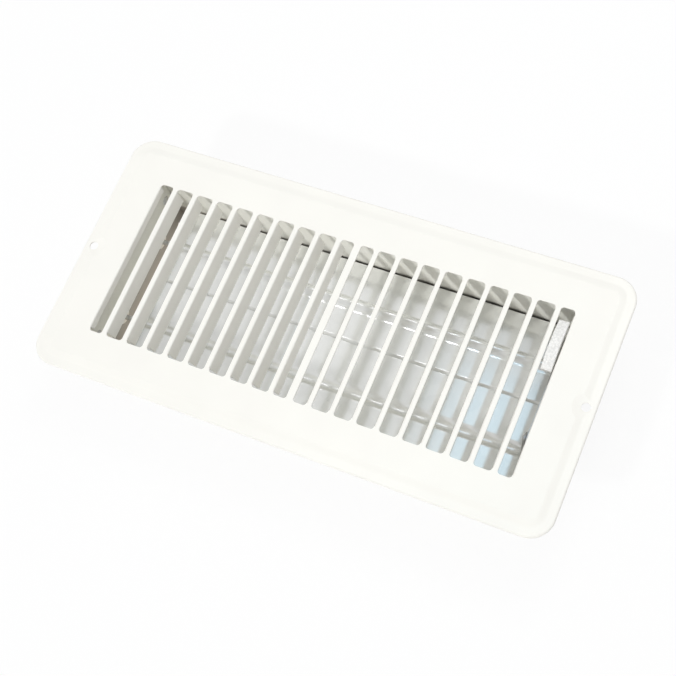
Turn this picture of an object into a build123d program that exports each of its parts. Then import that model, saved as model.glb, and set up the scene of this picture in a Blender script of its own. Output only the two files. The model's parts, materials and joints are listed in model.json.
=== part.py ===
from build123d import *
import os
from math import acos, cos, degrees, radians, sin

# Floor register: a stamped louvred face plate over a damper box with two coupled blades.
# Millimetres. The origin is the centre of the plane that the plate's edge sits on, +X runs along
# the plate towards the thumb tab, +Y towards the rear wall and +Z up through the face.

# Face plate
plate_length = 295.3
plate_width = 143.0
plate_corner_radius = 13.0
plate_sheet = 0.8
plate_edge_height = 1.35
plate_edge_radius = 1.0
rim_width = 4.8
rim_rise = 0.1
step_width = 3.7
step_radius = 6.0
face_height = 2.2

# Screw holes, each in a dished seat at the middle of a short side
screw_edge_distance = 5.4
screw_hole_radius = 2.4
dish_radius = 7.0
dish_depth = 0.9

# Louvre slots, a narrow one at the centre bar and at the end of each half and wide ones between
end_margin = 26.85
side_margin = 25.0
slot_pitch = 12.6
bar_width = 2.9
narrow_slot_width = 7.5
centre_bar_width = 3.9
slot_corner_radius = 1.7

# Fins, bent down out of the slots at the edge away from the centre bar
fin_bend_radius = 0.15
fin_lean = 13.0
fin_trim = 1.4
end_lip_depth = 3.8
fin_end_gap = 0.2
fin_end_draft = 0.6

# Damper box: two long walls with flanges and end tabs, and two end plates between them
wall_sheet = 0.6
end_sheet = 0.8
sheet_bend_radius = 0.6
flange_width = 9.0
slot_to_wall = 2.9
slot_to_end = 1.6
box_depth = 51.0
tab_width = 12.0
tab_drop = 6.0

# Corner rivets through the end tabs
rivet_radius = 1.5
rivet_head_radius = 2.6
rivet_head_height = 0.9
rivet_inset = 8.0
rivet_clearance = 0.05

# Damper blades and the rods in their beads
pivot_depth = 30.4
blade_sheet = 0.6
blade_wall_gap = 1.5
blade_seam_offset = 2.0
blade_overlap = 3.0
lip_gap = 0.5
lip_joggle = 1.4
lip_bend_radius = 0.9
bead_foot_radius = 1.5
bead_ramp_radius = 6.7
rod_radius = 1.5
rod_clearance = 0.05
rod_overhang = 1.8
strap_length = 9.0
strap_inset = 22.0
open_angle = 48.0

# Bushes in the end plates
bush_wall = 1.5
bush_flange_radius = 4.6
bush_flange_length = 1.2
bush_clip_step = 0.3
bush_clip_length = 0.9
bush_clearance = 0.05

# Lever: cranks, link bar and thumb tab
lever_end_gap = 4.2
crank_radius = 12.0
crank_sheet = 1.0
crank_hub_radius = 4.2
crank_tip_radius = 3.4
link_sheet = 1.0
link_height = 7.0
lever_gap = 0.3
arm_width = 11.0
thumb_width = 5.7
thumb_length = 28.0
thumb_end_gap = 6.5
thumb_arch = 2.6
thumb_proud = 1.3
thumb_cap_height = 4.2
thumb_edge_radius = 0.4
thumb_stem_wall = 0.9
thumb_stem_length = 3.8
thumb_pocket_depth = 5.0
thumb_fit = 0.1

# Slot layout of the right half: as many wide slots as fit the field at about their pitch, and the
# inner edge, fin edge and fin depth of each slot
slot_length = plate_width - 2 * side_margin
wide_field = plate_length / 2 - end_margin - centre_bar_width / 2 - 2 * narrow_slot_width - bar_width
wide_slots = round(wide_field / slot_pitch)
slot_width = wide_field / wide_slots - bar_width
slot_widths = [narrow_slot_width] + [slot_width] * wide_slots + [narrow_slot_width]
slots = []
slot_edge = centre_bar_width / 2
for width in slot_widths:
    slots.append((slot_edge, slot_edge + width, width - fin_trim))
    slot_edge += width + bar_width
last_inner, field_half, _ = slots[-1]
slots[-1] = (last_inner, field_half, end_lip_depth)

# Places that the pieces share
face_underside = face_height - plate_sheet
rim_height = plate_edge_height + rim_rise
level_margin = rim_rise / 4
border_width = rim_width + step_width
screw_x = plate_length / 2 - screw_edge_distance
bend_outer_radius = fin_bend_radius + plate_sheet
fin_half_length = slot_length / 2 - slot_corner_radius - fin_end_gap
wall_y = slot_length / 2 + slot_to_wall
end_x = field_half + slot_to_end
box_bottom = face_height - box_depth
tab_top = face_underside - tab_drop
tab_x = end_x + end_sheet
tab_rivet_y = wall_y - tab_width / 2
tab_rivet_heights = (tab_top - rivet_inset, box_bottom + rivet_inset)
end_half_width = wall_y - sheet_bend_radius
pivot_y = wall_y / 2
pivot_z = face_height - pivot_depth
lever_x = end_x - lever_end_gap
link_inner_x = lever_x - link_sheet / 2
crank_inner_x = link_inner_x - lever_gap - crank_sheet
blade_half_length = crank_inner_x - lever_gap
crank_lean = open_angle / 2
crank_tip_dy = crank_radius * sin(radians(crank_lean))
crank_tip_dz = crank_radius * cos(radians(crank_lean))
thumb_x = (last_inner + field_half) / 2
thumb_centre_y = slot_length / 2 - thumb_end_gap - thumb_length / 2
thumb_top = face_height + thumb_proud
cap_bottom = thumb_top - thumb_cap_height
thumb_bottom = cap_bottom - thumb_stem_length
bush_barrel_radius = rod_radius + bush_clearance + bush_wall

os.makedirs("parts", exist_ok=True)


def save(piece, name):
    """Label a finished piece and write its STEP file."""
    piece.label = name
    export_step(piece, f"parts/{name}.step")


def level_edges(piece, height):
    """The edges of a piece that lie level at a height."""
    level = piece.edges().filter_by(Plane.XY)
    return level.filter_by(lambda edge: abs(edge.center().Z - height) < level_margin)


def rivet_section(grip):
    """Half section of a rivet with two domed heads, along X from the seat of its first head."""
    dome_radius = (rivet_head_radius**2 + rivet_head_height**2) / (2 * rivet_head_height)
    with BuildSketch() as section:
        with BuildLine():
            RadiusArc((-rivet_head_height, 0), (0, rivet_head_radius), dome_radius)
            Polyline(
                (0, rivet_head_radius),
                (0, rivet_radius),
                (grip, rivet_radius),
                (grip, rivet_head_radius),
            )
            RadiusArc((grip, rivet_head_radius), (grip + rivet_head_height, 0), dome_radius)
            Line((grip + rivet_head_height, 0), (-rivet_head_height, 0))
        make_face()
    return section.sketch


# Face plate: one sheet drawn into a shallow tray with a stepped border, and the fins lanced out of it
with BuildPart() as face_plate:
    for height, inset in (
        (0, 0),
        (plate_edge_height, 0),
        (rim_height, rim_width),
        (face_height, border_width),
    ):
        with BuildSketch(Plane.XY.offset(height)):
            RectangleRounded(plate_length - 2 * inset, plate_width - 2 * inset, plate_corner_radius - inset)
    loft(ruled=True)
    for height, radius in (
        (face_height, step_radius),
        (rim_height, step_radius),
        (plate_edge_height, plate_edge_radius),
    ):
        fillet(level_edges(face_plate, height), radius)
    with Locations((-screw_x, 0, face_height), (screw_x, 0, face_height)):
        Cone(
            screw_hole_radius,
            dish_radius,
            dish_depth,
            align=(Align.CENTER, Align.CENTER, Align.MAX),
            mode=Mode.SUBTRACT,
        )
    offset(amount=-plate_sheet, openings=face_plate.faces().sort_by(Axis.Z)[0])
    with Locations((-screw_x, 0, face_height), (screw_x, 0, face_height)):
        Hole(screw_hole_radius)
    with BuildSketch(Plane.XY.offset(face_height)):
        for inner_edge, fin_edge, _ in slots:
            with Locations(((inner_edge + fin_edge) / 2, 0)):
                RectangleRounded(fin_edge - inner_edge, slot_length, slot_corner_radius)
            with Locations((fin_edge, 0)):
                Rectangle(2 * bend_outer_radius, 2 * fin_half_length)
        mirror(about=Plane.YZ)
    extrude(amount=-2 * plate_sheet, mode=Mode.SUBTRACT)
    with BuildSketch(Plane.XZ):
        for _, fin_edge, fin_depth in slots:
            with BuildLine():
                bend_x = fin_edge + bend_outer_radius
                skin = JernArc((bend_x, face_height), (-1, 0), bend_outer_radius, 90 - fin_lean)
                root = JernArc((bend_x, face_underside), (-1, 0), fin_bend_radius, 90 - fin_lean)
                drop = fin_depth - (face_height - (skin @ 1).Y)
                fin_run = (skin % 1) * (drop / cos(radians(fin_lean)))
                Polyline(skin @ 1, skin @ 1 + fin_run, root @ 1 + fin_run, root @ 1)
                Line(root @ 0, skin @ 0)
            make_face()
        mirror(about=Plane.YZ)
    extrude(amount=fin_half_length, both=True)
    with BuildSketch(Plane.YZ):
        fin_bottom = face_height - slot_width
        with BuildLine():
            Polyline(
                (fin_half_length, face_underside),
                (fin_half_length - fin_end_draft, fin_bottom),
                (slot_length / 2, fin_bottom),
                (slot_length / 2, face_underside),
                close=True,
            )
        make_face()
        mirror(about=Plane.YZ)
    extrude(amount=end_x, both=True, mode=Mode.SUBTRACT)
save(face_plate.part, "face_plate")

# Long walls: flanged at the top, with tabs folded round the end plates
for name, side in (("rear", 1), ("front", -1)):
    with BuildPart() as wall:
        wall_mid_y = side * (wall_y + wall_sheet / 2)
        flange_z = face_underside - wall_sheet / 2
        fold_radius = sheet_bend_radius + wall_sheet / 2
        with BuildSketch(Plane.YZ):
            with BuildLine():
                FilletPolyline(
                    (wall_mid_y, box_bottom),
                    (wall_mid_y, flange_z),
                    (side * (wall_y + flange_width), flange_z),
                    radius=fold_radius,
                )
            trace(line_width=wall_sheet)
        extrude(amount=end_x, both=True)
        with BuildSketch(Plane.XY.offset(box_bottom)):
            tab_mid_x = tab_x + wall_sheet / 2
            tab_end_y = side * (wall_y - tab_width)
            with BuildLine():
                FilletPolyline(
                    (-tab_mid_x, tab_end_y),
                    (-tab_mid_x, wall_mid_y),
                    (tab_mid_x, wall_mid_y),
                    (tab_mid_x, tab_end_y),
                    radius=fold_radius,
                )
            trace(line_width=wall_sheet)
        extrude(amount=tab_top - box_bottom)
        with BuildSketch(Plane.YZ):
            with Locations(*[(side * tab_rivet_y, height) for height in tab_rivet_heights]):
                Circle(rivet_radius + rivet_clearance)
        extrude(amount=tab_x + 2 * wall_sheet, both=True, mode=Mode.SUBTRACT)
    save(wall.part, f"{name}_wall")

# End plates: flanged at the top, with holes for the bushes and the corner rivets
for name, hand in (("right", 1), ("left", -1)):
    with BuildPart() as end_plate:
        end_mid_x = hand * (end_x + end_sheet / 2)
        flange_z = face_underside - end_sheet / 2
        with BuildSketch(Plane.XZ):
            with BuildLine():
                FilletPolyline(
                    (end_mid_x, box_bottom),
                    (end_mid_x, flange_z),
                    (hand * (end_x + flange_width), flange_z),
                    radius=sheet_bend_radius + end_sheet / 2,
                )
            trace(line_width=end_sheet)
        extrude(amount=end_half_width, both=True)
        with BuildSketch(Plane.YZ.offset(hand * end_x)):
            with Locations((-pivot_y, pivot_z), (pivot_y, pivot_z)):
                Circle(bush_barrel_radius)
            for side in (-1, 1):
                with Locations(*[(side * tab_rivet_y, height) for height in tab_rivet_heights]):
                    Circle(rivet_radius + rivet_clearance)
        extrude(amount=end_sheet, both=True, mode=Mode.SUBTRACT)
    save(end_plate.part, f"{name}_end_plate")

# Corner rivets: a domed head inside the end plate and another outside the tab
corner_section = rivet_section(end_sheet + wall_sheet)
with BuildPart() as corner_rivets:
    for hand in (-1, 1):
        for side in (-1, 1):
            for height in tab_rivet_heights:
                head = (hand * end_x, side * tab_rivet_y, height)
                seat = Plane(head, x_dir=(hand, 0, 0), z_dir=(0, -hand, 0))
                with BuildSketch(seat):
                    add(corner_section)
                revolve(axis=Axis(seat.origin, seat.x_dir))
save(corner_rivets.part, "corner_rivets")

# Blades: flat, with a bead over the rod that rises by a long ramp on the seam side, and straps under it.
# The near edge of the rear blade steps down below the far edge of the front blade.
bead_inner_radius = rod_radius + rod_clearance
bead_radius = bead_inner_radius + blade_sheet / 2
bead_outer_radius = bead_inner_radius + blade_sheet
lip_step = blade_sheet + lip_gap
lip_width = blade_overlap + lip_joggle / 2
outer_reach = wall_y - blade_wall_gap - pivot_y
front_far_reach = pivot_y + blade_seam_offset
rear_near_reach = pivot_y + blade_overlap - blade_seam_offset
strap_x = blade_half_length - strap_inset
strap_top = bead_radius / 2
lip_end = lip_width - rear_near_reach
for name, side, far_reach, near_radius, far_radius in (
    ("rear", 1, outer_reach, bead_ramp_radius, bead_foot_radius),
    ("front", -1, front_far_reach, bead_foot_radius, bead_ramp_radius),
):
    near_turn = degrees(acos(near_radius / (bead_radius + near_radius)))
    far_turn = degrees(acos(far_radius / (bead_radius + far_radius)))
    near_foot_y = -(bead_radius + near_radius) * sin(radians(near_turn))
    far_foot_y = (bead_radius + far_radius) * sin(radians(far_turn))
    with BuildPart() as blade:
        pivot = Plane((0, side * pivot_y, pivot_z), x_dir=(0, 1, 0), z_dir=(1, 0, 0))
        with BuildSketch(pivot):
            with BuildLine():
                if name == "rear":
                    FilletPolyline(
                        (-rear_near_reach, -lip_step),
                        (lip_end, -lip_step),
                        (lip_end + lip_joggle, 0),
                        (near_foot_y, 0),
                        radius=lip_bend_radius,
                    )
                else:
                    Line((-outer_reach, 0), (near_foot_y, 0))
                near_foot = JernArc((near_foot_y, 0), (1, 0), near_radius, near_turn)
                bead = JernArc(near_foot @ 1, near_foot % 1, bead_radius, -near_turn - far_turn)
                JernArc(bead @ 1, bead % 1, far_radius, far_turn)
                Line((far_foot_y, 0), (far_reach, 0))
            trace(line_width=blade_sheet)
        extrude(amount=blade_half_length, both=True)
        for x in (-strap_x, 0, strap_x):
            with BuildSketch(pivot.offset(x)):
                Circle(bead_outer_radius)
                Circle(bead_inner_radius, mode=Mode.SUBTRACT)
                with Locations((0, strap_top)):
                    Rectangle(
                        2 * bead_outer_radius,
                        bead_outer_radius,
                        align=(Align.CENTER, Align.MIN),
                        mode=Mode.SUBTRACT,
                    )
            extrude(amount=strap_length / 2, both=True)
    save(blade.part, f"{name}_blade")

    with BuildPart() as rod:
        with BuildSketch(pivot):
            Circle(rod_radius)
        extrude(amount=tab_x + rod_overhang, both=True)
    save(rod.part, f"{name}_pivot_rod")

# Bushes: a flange inside the end plate, a barrel through it and a clip ring behind it
for name, side in (("rear", 1), ("front", -1)):
    for end, hand in (("left", -1), ("right", 1)):
        with BuildPart() as bush:
            collar = (hand * end_x, side * pivot_y, pivot_z)
            seat = Plane(collar, x_dir=(hand, 0, 0), z_dir=(0, -hand, 0))
            clip_radius = bush_barrel_radius + bush_clip_step
            bore_radius = rod_radius + bush_clearance
            with BuildSketch(seat):
                with BuildLine():
                    Polyline(
                        (-bush_flange_length, bore_radius),
                        (-bush_flange_length, bush_flange_radius),
                        (0, bush_flange_radius),
                        (0, bush_barrel_radius),
                        (end_sheet, bush_barrel_radius),
                        (end_sheet, clip_radius),
                        (end_sheet + bush_clip_length, bush_barrel_radius),
                        (end_sheet + bush_clip_length, bore_radius),
                        close=True,
                    )
                make_face()
            revolve(axis=Axis(seat.origin, seat.x_dir))
        save(bush.part, f"{name}_{end}_bush")

# Cranks on the rods and the rivets that join them to the link bar
link_section = rivet_section(crank_sheet + link_sheet + 2 * lever_gap)
for name, side in (("rear", 1), ("front", -1)):
    crank_tip = (crank_tip_dy, crank_tip_dz)
    with BuildPart() as crank:
        hub = Plane((crank_inner_x, side * pivot_y, pivot_z), x_dir=(0, 1, 0), z_dir=(1, 0, 0))
        with BuildSketch(hub):
            Circle(crank_hub_radius)
            with Locations(crank_tip):
                Circle(crank_tip_radius)
            make_hull()
            Circle(rod_radius + rod_clearance, mode=Mode.SUBTRACT)
            with Locations(crank_tip):
                Circle(rivet_radius + rivet_clearance, mode=Mode.SUBTRACT)
        extrude(amount=crank_sheet)
    save(crank.part, f"{name}_crank")

    with BuildPart() as link_rivet:
        tip = hub.from_local_coords(Vector(*crank_tip, 0))
        seat = Plane(tip, x_dir=(1, 0, 0), z_dir=(0, -1, 0))
        with BuildSketch(seat):
            add(link_section)
        revolve(axis=Axis(seat.origin, seat.x_dir))
    save(link_rivet.part, f"{name}_link_rivet")

# Link bar: a flat strip from crank to crank with an arm that rises into the thumb tab
link_z = pivot_z + crank_tip_dz
arm_top = thumb_bottom + thumb_pocket_depth - thumb_fit
with BuildPart() as link_bar:
    with BuildSketch(Plane.YZ.offset(link_inner_x)):
        with Locations((crank_tip_dy, link_z)):
            SlotCenterToCenter(2 * pivot_y, link_height)
        with Locations((thumb_centre_y, link_z)):
            Rectangle(arm_width, arm_top - link_z, align=(Align.CENTER, Align.MIN))
        with Locations((crank_tip_dy - pivot_y, link_z), (crank_tip_dy + pivot_y, link_z)):
            Circle(rivet_radius + rivet_clearance, mode=Mode.SUBTRACT)
    extrude(amount=link_sheet)
save(link_bar.part, "link_bar")

# Thumb tab: an arched cap on a stem, pushed over the arm of the link bar
with BuildPart() as thumb_tab:
    with BuildSketch(Plane.YZ.offset(thumb_x)):
        with BuildLine():
            near_y = thumb_centre_y - thumb_length / 2
            far_y = thumb_centre_y + thumb_length / 2
            shoulder_z = thumb_top - thumb_arch
            ThreePointArc((near_y, shoulder_z), (thumb_centre_y, thumb_top), (far_y, shoulder_z))
            Polyline(
                (far_y, shoulder_z),
                (far_y, cap_bottom),
                (near_y, cap_bottom),
                (near_y, shoulder_z),
            )
        make_face()
    extrude(amount=thumb_width / 2, both=True)
    fillet(thumb_tab.edges().filter_by(lambda edge: edge.center().Z > cap_bottom), thumb_edge_radius)
    pocket_width = link_sheet + 2 * thumb_fit
    pocket_length = arm_width + 2 * thumb_fit
    stem_foot = Plane((lever_x, thumb_centre_y, thumb_bottom))
    with BuildSketch(stem_foot):
        Rectangle(pocket_width + 2 * thumb_stem_wall, pocket_length + 2 * thumb_stem_wall)
    extrude(amount=thumb_stem_length)
    with BuildSketch(stem_foot):
        Rectangle(pocket_width, pocket_length)
    extrude(amount=thumb_pocket_depth, mode=Mode.SUBTRACT)
save(thumb_tab.part, "thumb_tab")
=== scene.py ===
import json
import math

import bpy
from mathutils import Matrix, Vector


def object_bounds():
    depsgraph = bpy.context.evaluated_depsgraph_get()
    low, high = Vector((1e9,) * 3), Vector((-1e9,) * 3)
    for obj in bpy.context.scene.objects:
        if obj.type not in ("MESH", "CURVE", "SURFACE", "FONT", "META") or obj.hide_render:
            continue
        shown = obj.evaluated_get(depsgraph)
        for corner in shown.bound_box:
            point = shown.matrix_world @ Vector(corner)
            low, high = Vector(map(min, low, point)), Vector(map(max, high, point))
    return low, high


# Floor register on a plain pale floor. Metres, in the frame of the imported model.
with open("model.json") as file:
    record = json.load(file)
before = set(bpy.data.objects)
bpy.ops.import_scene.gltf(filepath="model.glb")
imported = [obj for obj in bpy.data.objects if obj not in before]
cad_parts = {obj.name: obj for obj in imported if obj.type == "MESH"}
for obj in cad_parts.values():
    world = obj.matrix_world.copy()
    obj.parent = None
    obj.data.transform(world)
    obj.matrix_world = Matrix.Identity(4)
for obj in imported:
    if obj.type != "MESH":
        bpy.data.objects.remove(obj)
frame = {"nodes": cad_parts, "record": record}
cad_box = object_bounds()
nodes = frame["nodes"]
floor_z = cad_box[0][2]

# View: the camera's place and its right and up directions, with the focal length in pixels
image_size = 676
camera_place = Vector((0.22503, -0.2022, 0.6284))
camera_right = Vector((0.9023, 0.3884, -0.1873))
camera_up = Vector((-0.2994, 0.8768, 0.3762))
focal_pixels = 1334
sensor_mm = 36.0

# Sky: white, at its palest towards sky_top, above the rear, and dimmer away from it
sky_top = (-0.15, 0.62, 0.77)
sky_edge = 0.3
sky_low = 0.53
sky_high = 0.75

# Key and fill: a distant lamp from the front left and a near one above the rear side
white = (1.0, 1.0, 1.0)
key_direction = Vector((-0.4, -1.1, 1.0))
key_distance = 4.0
key_size = 0.32
key_radiance = 188.0
fill_direction = Vector((0.15, 0.42, 0.9))
fill_distance = 0.9
fill_size = 0.3
fill_radiance = 5.8

# Overhead: a small ceiling lamp and a wide bluish window, which the blades reflect
overhead = Vector((0, 0, 1))
ceiling_place = (-0.375, 0.15, 1.4)
ceiling_size = (0.3, 0.08)
ceiling_radiance = 7.0
window_height = 1.4
window_low = (-0.26, -0.10)
window_high = (0.30, 0.48)
window_radiance = 0.62
window_colour = (0.25, 0.7, 1.0)

# Bounce: warm light on the left end plate, below the blades
bounce_back = Vector((1, 0, 0))
bounce_place = (-0.108, 0.0, -0.0405)
bounce_size = (0.085, 0.012)
bounce_radiance = 1.5
bounce_colour = (1.0, 0.93, 0.84)

# Stage
floor_half = 4.0
floor_glow = 0.9
floor_colour = (0.9, 0.9, 0.9, 1.0)

# Bare steel and painted shade low in the box, a darker tint that stands partly for bare steel and
# partly for the shade deep in the box:
# its reach along X, over both faces of the end plates, and along Y, to the middle of the side
# walls' sheet, and the heights between which the enamel fades into it
bare_and_shade_half = (0.1234, 0.0496)
bare_and_shade_start = -0.0275
bare_and_shade_full = -0.0305

# Part of a pattern's range over which a base colour goes from its dark to its light tint
dark_end = 0.25
light_end = 0.75

# Enamel: blotches of tint, patches of gloss and orange peel, with scales per metre
blotch_scale = 35.0
blotch_detail = 2.0
gloss_scale = 160.0
peel_scale = 750.0
peel_detail = 1.5
peel_depth = 0.00002
peel_strength = 0.5
enamel_coat = 0.15
enamel_coat_roughness = 0.2

# Rolled sheet: a grain, stretched by a scale per metre along each axis, over crystal cells
grain_detail = 4.0
grain_roughness = 0.6
grain_share = 0.65
grain_depth = 0.000006
grain_strength = 0.6
cell_share = 0.35

# Moulded plastic: patches of gloss under the pebbles
skin_scale = 400.0
skin_smooth = 0.38
skin_rough = 0.55
plastic_ior = 1.5


class Shader:
    """A node material on object coordinates, with short calls for the nodes that it is made of."""

    def __init__(self, name):
        self.material = bpy.data.materials.new(name)
        self.material.use_nodes = True
        self.tree = self.material.node_tree
        self.surface = self.tree.nodes["Principled BSDF"]
        self.place = self.tree.nodes.new("ShaderNodeTexCoord").outputs["Object"]

    def node(self, kind, **settings):
        made = self.tree.nodes.new(kind)
        for key, value in settings.items():
            setattr(made, key, value)
        return made

    def join(self, source, target):
        self.tree.links.new(source, target)

    def stretched(self, factors):
        """Object coordinates scaled by a factor along each axis."""
        mapping = self.node("ShaderNodeMapping")
        mapping.inputs["Scale"].default_value = factors
        self.join(self.place, mapping.inputs["Vector"])
        return mapping.outputs["Vector"]

    def noise(self, scale, detail=3.0, roughness=0.5, place=None):
        made = self.node("ShaderNodeTexNoise")
        made.inputs["Scale"].default_value = scale
        made.inputs["Detail"].default_value = detail
        made.inputs["Roughness"].default_value = roughness
        self.join(place or self.place, made.inputs["Vector"])
        return made.outputs["Fac"]

    def voronoi(self, scale):
        made = self.node("ShaderNodeTexVoronoi")
        made.inputs["Scale"].default_value = scale
        self.join(self.place, made.inputs["Vector"])
        return made

    def cells(self, scale):
        """A random grey for each cell of a Voronoi pattern."""
        split = self.node("ShaderNodeSeparateColor")
        self.join(self.voronoi(scale).outputs["Color"], split.inputs["Color"])
        return split.outputs["Red"]

    def pebbles(self, scale):
        """A grey that is highest at the seeds of a Voronoi pattern, for a moulded skin."""
        return self.ranged(self.voronoi(scale).outputs["Distance"], 1.0, 0.0)

    def ranged(self, source, low, high):
        """A grey from 0 to 1 spread from low to high."""
        made = self.node("ShaderNodeMapRange")
        made.inputs["To Min"].default_value = low
        made.inputs["To Max"].default_value = high
        self.join(source, made.inputs["Value"])
        return made.outputs["Result"]

    def colour(self, source, dark, light):
        """Base colour between two tints by a grey."""
        ramp = self.node("ShaderNodeValToRGB")
        low, high = ramp.color_ramp.elements
        low.position, low.color = dark_end, (*dark, 1.0)
        high.position, high.color = light_end, (*light, 1.0)
        self.join(source, ramp.inputs["Fac"])
        self.join(ramp.outputs["Color"], self.surface.inputs["Base Color"])

    def bare_and_shaded_low(self, tint):
        """A darker base colour low in the box and on its end plates, where the enamel fades out:
        partly bare steel, partly painted shade of the deep box.
        """
        away = self.node("ShaderNodeVectorMath", operation="ABSOLUTE")
        self.join(self.place, away.inputs[0])
        across = self.node("ShaderNodeSeparateXYZ")
        self.join(away.outputs["Vector"], across.inputs["Vector"])
        share = self.node("ShaderNodeMapRange")
        share.inputs["From Min"].default_value = -bare_and_shade_start
        share.inputs["From Max"].default_value = -bare_and_shade_full
        self.join(across.outputs["Z"], share.inputs["Value"])
        bare_and_shade = share.outputs["Result"]
        for axis, half in zip("XY", bare_and_shade_half):
            inside = self.node("ShaderNodeMath", operation="LESS_THAN")
            inside.inputs[1].default_value = half
            self.join(across.outputs[axis], inside.inputs[0])
            both = self.node("ShaderNodeMath", operation="MULTIPLY")
            self.join(bare_and_shade, both.inputs[0])
            self.join(inside.outputs["Value"], both.inputs[1])
            bare_and_shade = both.outputs["Value"]
        # Painted shade: the darker tint low in the box stands partly for bare steel and partly for
        # the shade deep inside.
        base = self.surface.inputs["Base Color"]
        mix = self.node("ShaderNodeMixRGB")
        mix.inputs["Color2"].default_value = (*tint, 1.0)
        self.join(bare_and_shade, mix.inputs["Fac"])
        self.join(base.links[0].from_socket, mix.inputs["Color1"])
        self.join(mix.outputs["Color"], base)

    def roughness(self, source, low, high):
        self.join(self.ranged(source, low, high), self.surface.inputs["Roughness"])

    def bump(self, source, depth, strength=1.0):
        made = self.node("ShaderNodeBump")
        made.inputs["Strength"].default_value = strength
        made.inputs["Distance"].default_value = depth
        self.join(source, made.inputs["Height"])
        self.join(made.outputs["Normal"], self.surface.inputs["Normal"])

    def set(self, **values):
        """Constant values on the shader's own sockets, named with underscores for spaces."""
        for key, value in values.items():
            self.surface.inputs[key.replace("_", " ")].default_value = value


def enamel(name, dark, light, smooth, rough, bare_and_shade=None):
    """Baked enamel with faint blotches over a fine orange peel, on steel that may darken low down,
    partly bare steel and partly painted shade.
    """
    paint = Shader(name)
    paint.colour(paint.noise(blotch_scale, detail=blotch_detail), dark, light)
    if bare_and_shade:
        paint.bare_and_shaded_low(bare_and_shade)
    paint.roughness(paint.noise(gloss_scale), smooth, rough)
    paint.bump(paint.noise(peel_scale, detail=peel_detail), peel_depth, strength=peel_strength)
    paint.set(Coat_Weight=enamel_coat, Coat_Roughness=enamel_coat_roughness)
    return paint.material


def rolled_steel(name, dark, light, smooth, rough, grain, cell_scale, metallic):
    """Coated sheet: pale crystal cells and a fine grain along the rolling direction."""
    steel = Shader(name)
    rolled = steel.noise(
        1.0, detail=grain_detail, roughness=grain_roughness, place=steel.stretched(grain)
    )
    mixed = steel.node("ShaderNodeMath", operation="ADD")
    steel.join(steel.ranged(steel.cells(cell_scale), 0.0, cell_share), mixed.inputs[0])
    steel.join(steel.ranged(rolled, 0.0, grain_share), mixed.inputs[1])
    steel.colour(mixed.outputs["Value"], dark, light)
    steel.roughness(mixed.outputs["Value"], smooth, rough)
    steel.bump(rolled, grain_depth, strength=grain_strength)
    steel.set(Metallic=metallic)
    return steel.material


def moulded(name, dark, light, pebble_scale, pebble_depth):
    """Moulded plastic with a pebbled skin, with painted shade that darkens its colour in the
    hollows between pebbles.
    """
    plastic = Shader(name)
    pebble_height_and_shade = plastic.pebbles(pebble_scale)
    # Painted shade: the base colour follows the pebbles' height, darker in their hollows.
    plastic.colour(pebble_height_and_shade, dark, light)
    plastic.roughness(plastic.noise(skin_scale), skin_smooth, skin_rough)
    plastic.bump(pebble_height_and_shade, pebble_depth)
    plastic.set(IOR=plastic_ior)
    return plastic.material


def dress(material, names):
    """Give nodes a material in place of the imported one."""
    for name in names:
        mesh = nodes[name].data
        mesh.materials.clear()
        mesh.materials.append(material)


face_enamel = enamel(
    "face_enamel",
    dark=(0.902, 0.884, 0.833),
    light=(0.928, 0.912, 0.858),
    smooth=0.26,
    rough=0.36,
)
box_enamel = enamel(
    "box_enamel",
    dark=(0.94, 0.93, 0.86),
    light=(0.97, 0.96, 0.90),
    smooth=0.42,
    rough=0.55,
    # Darker tint low in the box: partly bare steel, partly painted shade.
    bare_and_shade=(0.36, 0.34, 0.305),
)
blade_steel = rolled_steel(
    "blade_steel",
    dark=(0.90, 0.905, 0.89),
    light=(0.96, 0.965, 0.95),
    smooth=0.10,
    rough=0.16,
    grain=(1500.0, 60.0, 400.0),
    cell_scale=160.0,
    metallic=0.5,
)
zinc = rolled_steel(
    "zinc",
    dark=(0.52, 0.52, 0.53),
    light=(0.66, 0.66, 0.66),
    smooth=0.25,
    rough=0.42,
    grain=(300.0, 700.0, 700.0),
    cell_scale=900.0,
    metallic=1.0,
)
nylon = moulded(
    "nylon",
    dark=(0.78, 0.77, 0.71),
    light=(0.86, 0.85, 0.79),
    pebble_scale=2500.0,
    pebble_depth=0.00002,
)
grip = moulded(
    "grip",
    dark=(0.77, 0.76, 0.735),
    light=(0.92, 0.907, 0.88),
    pebble_scale=900.0,
    pebble_depth=0.00024,
)

dress(face_enamel, ["face_plate"])
dress(box_enamel, ["front_wall", "rear_wall", "left_end_plate", "right_end_plate"])
dress(blade_steel, ["front_blade", "rear_blade"])
dress(
    zinc,
    [
        "corner_rivets",
        "front_pivot_rod",
        "rear_pivot_rod",
        "front_crank",
        "rear_crank",
        "front_link_rivet",
        "rear_link_rivet",
        "link_bar",
    ],
)
dress(nylon, ["front_left_bush", "front_right_bush", "rear_left_bush", "rear_right_bush"])
dress(grip, ["thumb_tab"])


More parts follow.
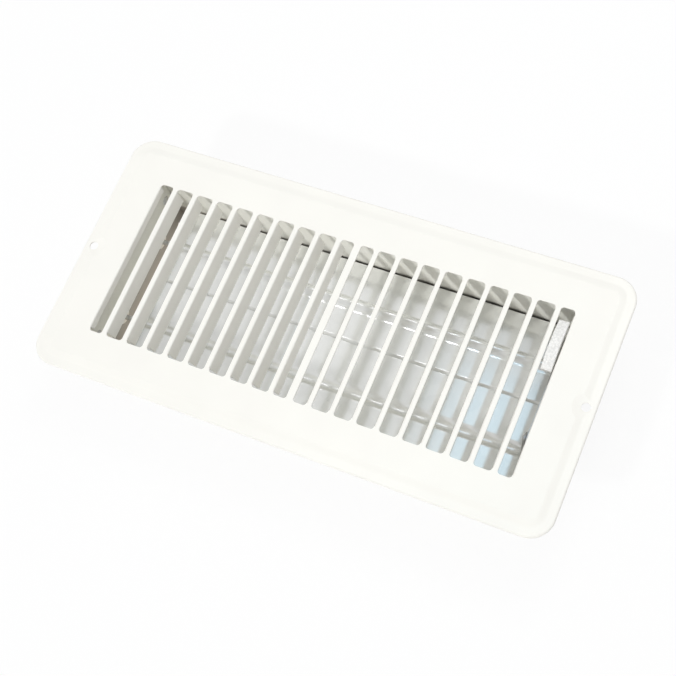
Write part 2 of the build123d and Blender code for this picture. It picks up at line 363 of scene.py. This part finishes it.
def floor_material(name, glow):
    """A matt pale floor that glows by a share to the camera, in reflections and through glass."""
    shade = Shader(name)
    tree = shade.tree
    tree.nodes.remove(shade.surface)
    matt = shade.node("ShaderNodeBsdfDiffuse")
    matt.inputs["Color"].default_value = floor_colour
    light = shade.node("ShaderNodeEmission")
    path = shade.node("ShaderNodeLightPath")
    seen = path.outputs["Is Camera Ray"]
    for ray in ("Is Glossy Ray", "Is Transmission Ray"):
        either = shade.node("ShaderNodeMath", operation="MAXIMUM")
        shade.join(seen, either.inputs[0])
        shade.join(path.outputs[ray], either.inputs[1])
        seen = either.outputs["Value"]
    share = shade.node("ShaderNodeMath", operation="MULTIPLY")
    share.inputs[1].default_value = glow
    shade.join(seen, share.inputs[0])
    mix = shade.node("ShaderNodeMixShader")
    shade.join(share.outputs["Value"], mix.inputs["Fac"])
    shade.join(matt.outputs["BSDF"], mix.inputs[1])
    shade.join(light.outputs["Emission"], mix.inputs[2])
    shade.join(mix.outputs["Shader"], tree.nodes["Material Output"].inputs["Surface"])
    return shade.material


def rectangle(low, high):
    """The corners of a rectangle in turn."""
    return [low, (high[0], low[1]), high, (low[0], high[1])]


def make_floor():
    """A pale floor round the foot of the box, with a patch inside the foot that doesn't glow."""
    openings = frame["record"]["physics"]["openings"]
    throat = next(gap for gap in openings if gap["name"] == "duct_throat")
    (low_x, low_y, _), (high_x, high_y, _) = throat["box_m"]
    outer = rectangle((-floor_half, -floor_half), (floor_half, floor_half))
    inner = rectangle((low_x, low_y), (high_x, high_y))
    corners = len(outer)
    ring = []
    for corner in range(corners):
        after = (corner + 1) % corners
        ring.append((corner, after, after + corners, corner + corners))
    patch = tuple(range(corners, 2 * corners))
    mesh = bpy.data.meshes.new("floor")
    mesh.from_pydata([(x, y, floor_z) for x, y in outer + inner], [], ring + [patch])
    mesh.materials.append(floor_material("floor", floor_glow))
    mesh.materials.append(floor_material("floor_in_box", 0.0))
    mesh.polygons[-1].material_index = 1
    floor = bpy.data.objects.new("floor", mesh)
    bpy.context.scene.collection.objects.link(floor)


def add_panel(name, place, back, size, radiance, colour):
    """A rectangular soft lamp of a given radiance, with its back turned to a direction."""
    lamp = bpy.data.lights.new(name, "AREA")
    lamp.shape = "RECTANGLE"
    lamp.size, lamp.size_y = size
    lamp.energy = radiance * math.pi * size[0] * size[1]
    lamp.color = colour
    panel = bpy.data.objects.new(name, lamp)
    panel.location = place
    panel.rotation_euler = back.to_track_quat("Z", "Y").to_euler()
    bpy.context.scene.collection.objects.link(panel)
    return panel


def add_soft_lamp(name, direction, distance, size, radiance):
    """A white square lamp turned to the register, which doesn't show in reflections."""
    place = direction.normalized() * distance
    panel = add_panel(name, place, direction, (size, size), radiance, white)
    panel.visible_glossy = False


def add_lamps():
    add_soft_lamp("key", key_direction, key_distance, key_size, key_radiance)
    add_soft_lamp("fill", fill_direction, fill_distance, fill_size, fill_radiance)
    add_panel("ceiling", ceiling_place, overhead, ceiling_size, ceiling_radiance, white)
    add_panel("bounce", bounce_place, bounce_back, bounce_size, bounce_radiance, bounce_colour)
    window_middle = [(low + high) / 2 for low, high in zip(window_low, window_high)]
    window_size = [high - low for low, high in zip(window_low, window_high)]
    window_place = (*window_middle, window_height)
    add_panel("window", window_place, overhead, window_size, window_radiance, window_colour)


def set_world():
    """A white sky, brightest towards one point, that falls off all round it."""
    world = bpy.data.worlds.new("sky")
    world.use_nodes = True
    tree = world.node_tree
    direction = tree.nodes.new("ShaderNodeTexCoord").outputs["Generated"]
    nearness = tree.nodes.new("ShaderNodeVectorMath")
    nearness.operation = "DOT_PRODUCT"
    nearness.inputs[1].default_value = sky_top
    level = tree.nodes.new("ShaderNodeMapRange")
    level.inputs["From Min"].default_value = sky_edge
    level.inputs["To Min"].default_value = sky_low
    level.inputs["To Max"].default_value = sky_high
    background = tree.nodes["Background"]
    tree.links.new(direction, nearness.inputs[0])
    tree.links.new(nearness.outputs["Value"], level.inputs["Value"])
    tree.links.new(level.outputs["Result"], background.inputs["Strength"])
    background.inputs["Color"].default_value = (*white, 1.0)
    bpy.context.scene.world = world


def add_camera():
    data = bpy.data.cameras.new("camera")
    data.sensor_width = sensor_mm
    data.lens = focal_pixels / image_size * sensor_mm
    camera = bpy.data.objects.new("camera", data)
    back = camera_right.cross(camera_up)
    turn = Matrix((camera_right, camera_up, back)).transposed().to_4x4()
    camera.matrix_world = Matrix.Translation(camera_place) @ turn
    bpy.context.scene.collection.objects.link(camera)
    bpy.context.scene.camera = camera


make_floor()
set_world()
add_lamps()
add_camera()
bpy.context.scene.view_settings.view_transform = "Standard"
